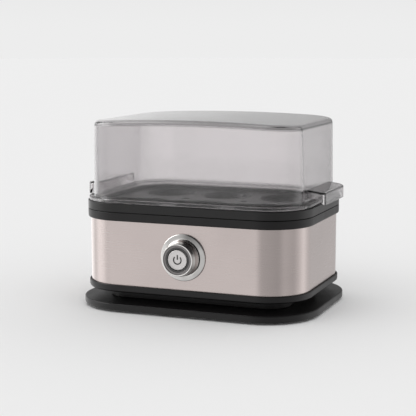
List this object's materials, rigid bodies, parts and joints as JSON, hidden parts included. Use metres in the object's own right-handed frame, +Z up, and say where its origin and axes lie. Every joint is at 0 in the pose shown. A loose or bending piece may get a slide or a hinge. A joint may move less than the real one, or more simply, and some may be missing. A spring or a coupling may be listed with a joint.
{
  "type": "egg cooker",
  "caption": "Electric egg cooker: stainless housing on a cord-wrap base, front push switch, black egg tray and clear lift-off lid with side grips.",
  "frame": {"origin": "centre of the base plate's underside; the rubber feet stand 1.5 mm below it", "axes": "+X to the right along the long side, -Y towards the front with the switch, +Z up"},
  "size_m": [0.1888, 0.1447, 0.1417],
  "materials": {
    "black_plastic": "satin moulded",
    "inner_plastic": "moulded",
    "rubber": "matte",
    "steel": "fine brushed",
    "zinc": "zinc plated",
    "chrome": "polished",
    "aluminium": "satin",
    "silicone": "matte",
    "smoke": "smoky gloss",
    "silver": "silver satin",
    "mark": "printed",
    "clear": "clear moulded, slightly smoky",
    "red_wire": "insulation",
    "blue_wire": "insulation",
    "white_plastic": "moulded",
    "board": "board",
    "ceramic": "matte"
  },
  "bodies": {
    "housing": {"base_plate": "black_plastic", "base_screw_1": "zinc", "base_screw_2": "zinc", "base_screw_3": "zinc", "base_screw_4": "zinc", "button_spring": "zinc", "clamp_nut_1": "zinc", "clamp_nut_2": "zinc", "clamp_stud_1": "zinc", "clamp_stud_2": "zinc", "cord_drum": "black_plastic", "cord_gland": "rubber", "dish_seal": "silicone", "dish_strap": "zinc", "element_clamp": "zinc", "element_wire": "white_plastic", "foot_front_left": "rubber", "foot_front_right": "rubber", "foot_rear_left": "rubber", "foot_rear_right": "rubber", "fuse_clip": "zinc", "heating_element": "zinc", "housing_screw_1": "zinc", "housing_screw_2": "zinc", "housing_screw_3": "zinc", "housing_screw_4": "zinc", "lamp_board": "board", "light_ring": "smoke", "live_wire": "red_wire", "lower_housing": "black_plastic", "neutral_wire": "blue_wire", "steel_shell": "steel", "strap_screw_1": "zinc", "strap_screw_2": "zinc", "switch_bezel": "chrome", "switch_body": "inner_plastic", "switch_collar": "chrome", "switch_nut": "zinc", "switch_wire": "white_plastic", "terminal_block": "white_plastic", "thermal_fuse": "white_plastic", "thermostat": "ceramic", "thermostat_wire": "red_wire", "upper_ring": "black_plastic", "water_dish": "aluminium"},
    "tray": {"egg_tray": "black_plastic"},
    "lid": {"lid": "clear"},
    "button": {"button_cap": "silver", "power_symbol_arc": "mark", "power_symbol_bar": "mark", "button_stem": "inner_plastic"}
  },
  "joints": [
    {"name": "tray_lift", "type": "slide", "parent": "housing", "child": "tray", "axis": [0, 0, 1], "range_m": [0, 0.05]},
    {"name": "lid_lift", "type": "slide", "parent": "tray", "child": "lid", "axis": [0, 0, 1], "range_m": [0, 0.075]},
    {"name": "button_push", "type": "slide", "parent": "housing", "child": "button", "axis": [0, 1, 0], "range_m": [0, 0.002], "stiffness_N_per_m": 800, "deforming": ["button_spring"]}
  ]
}
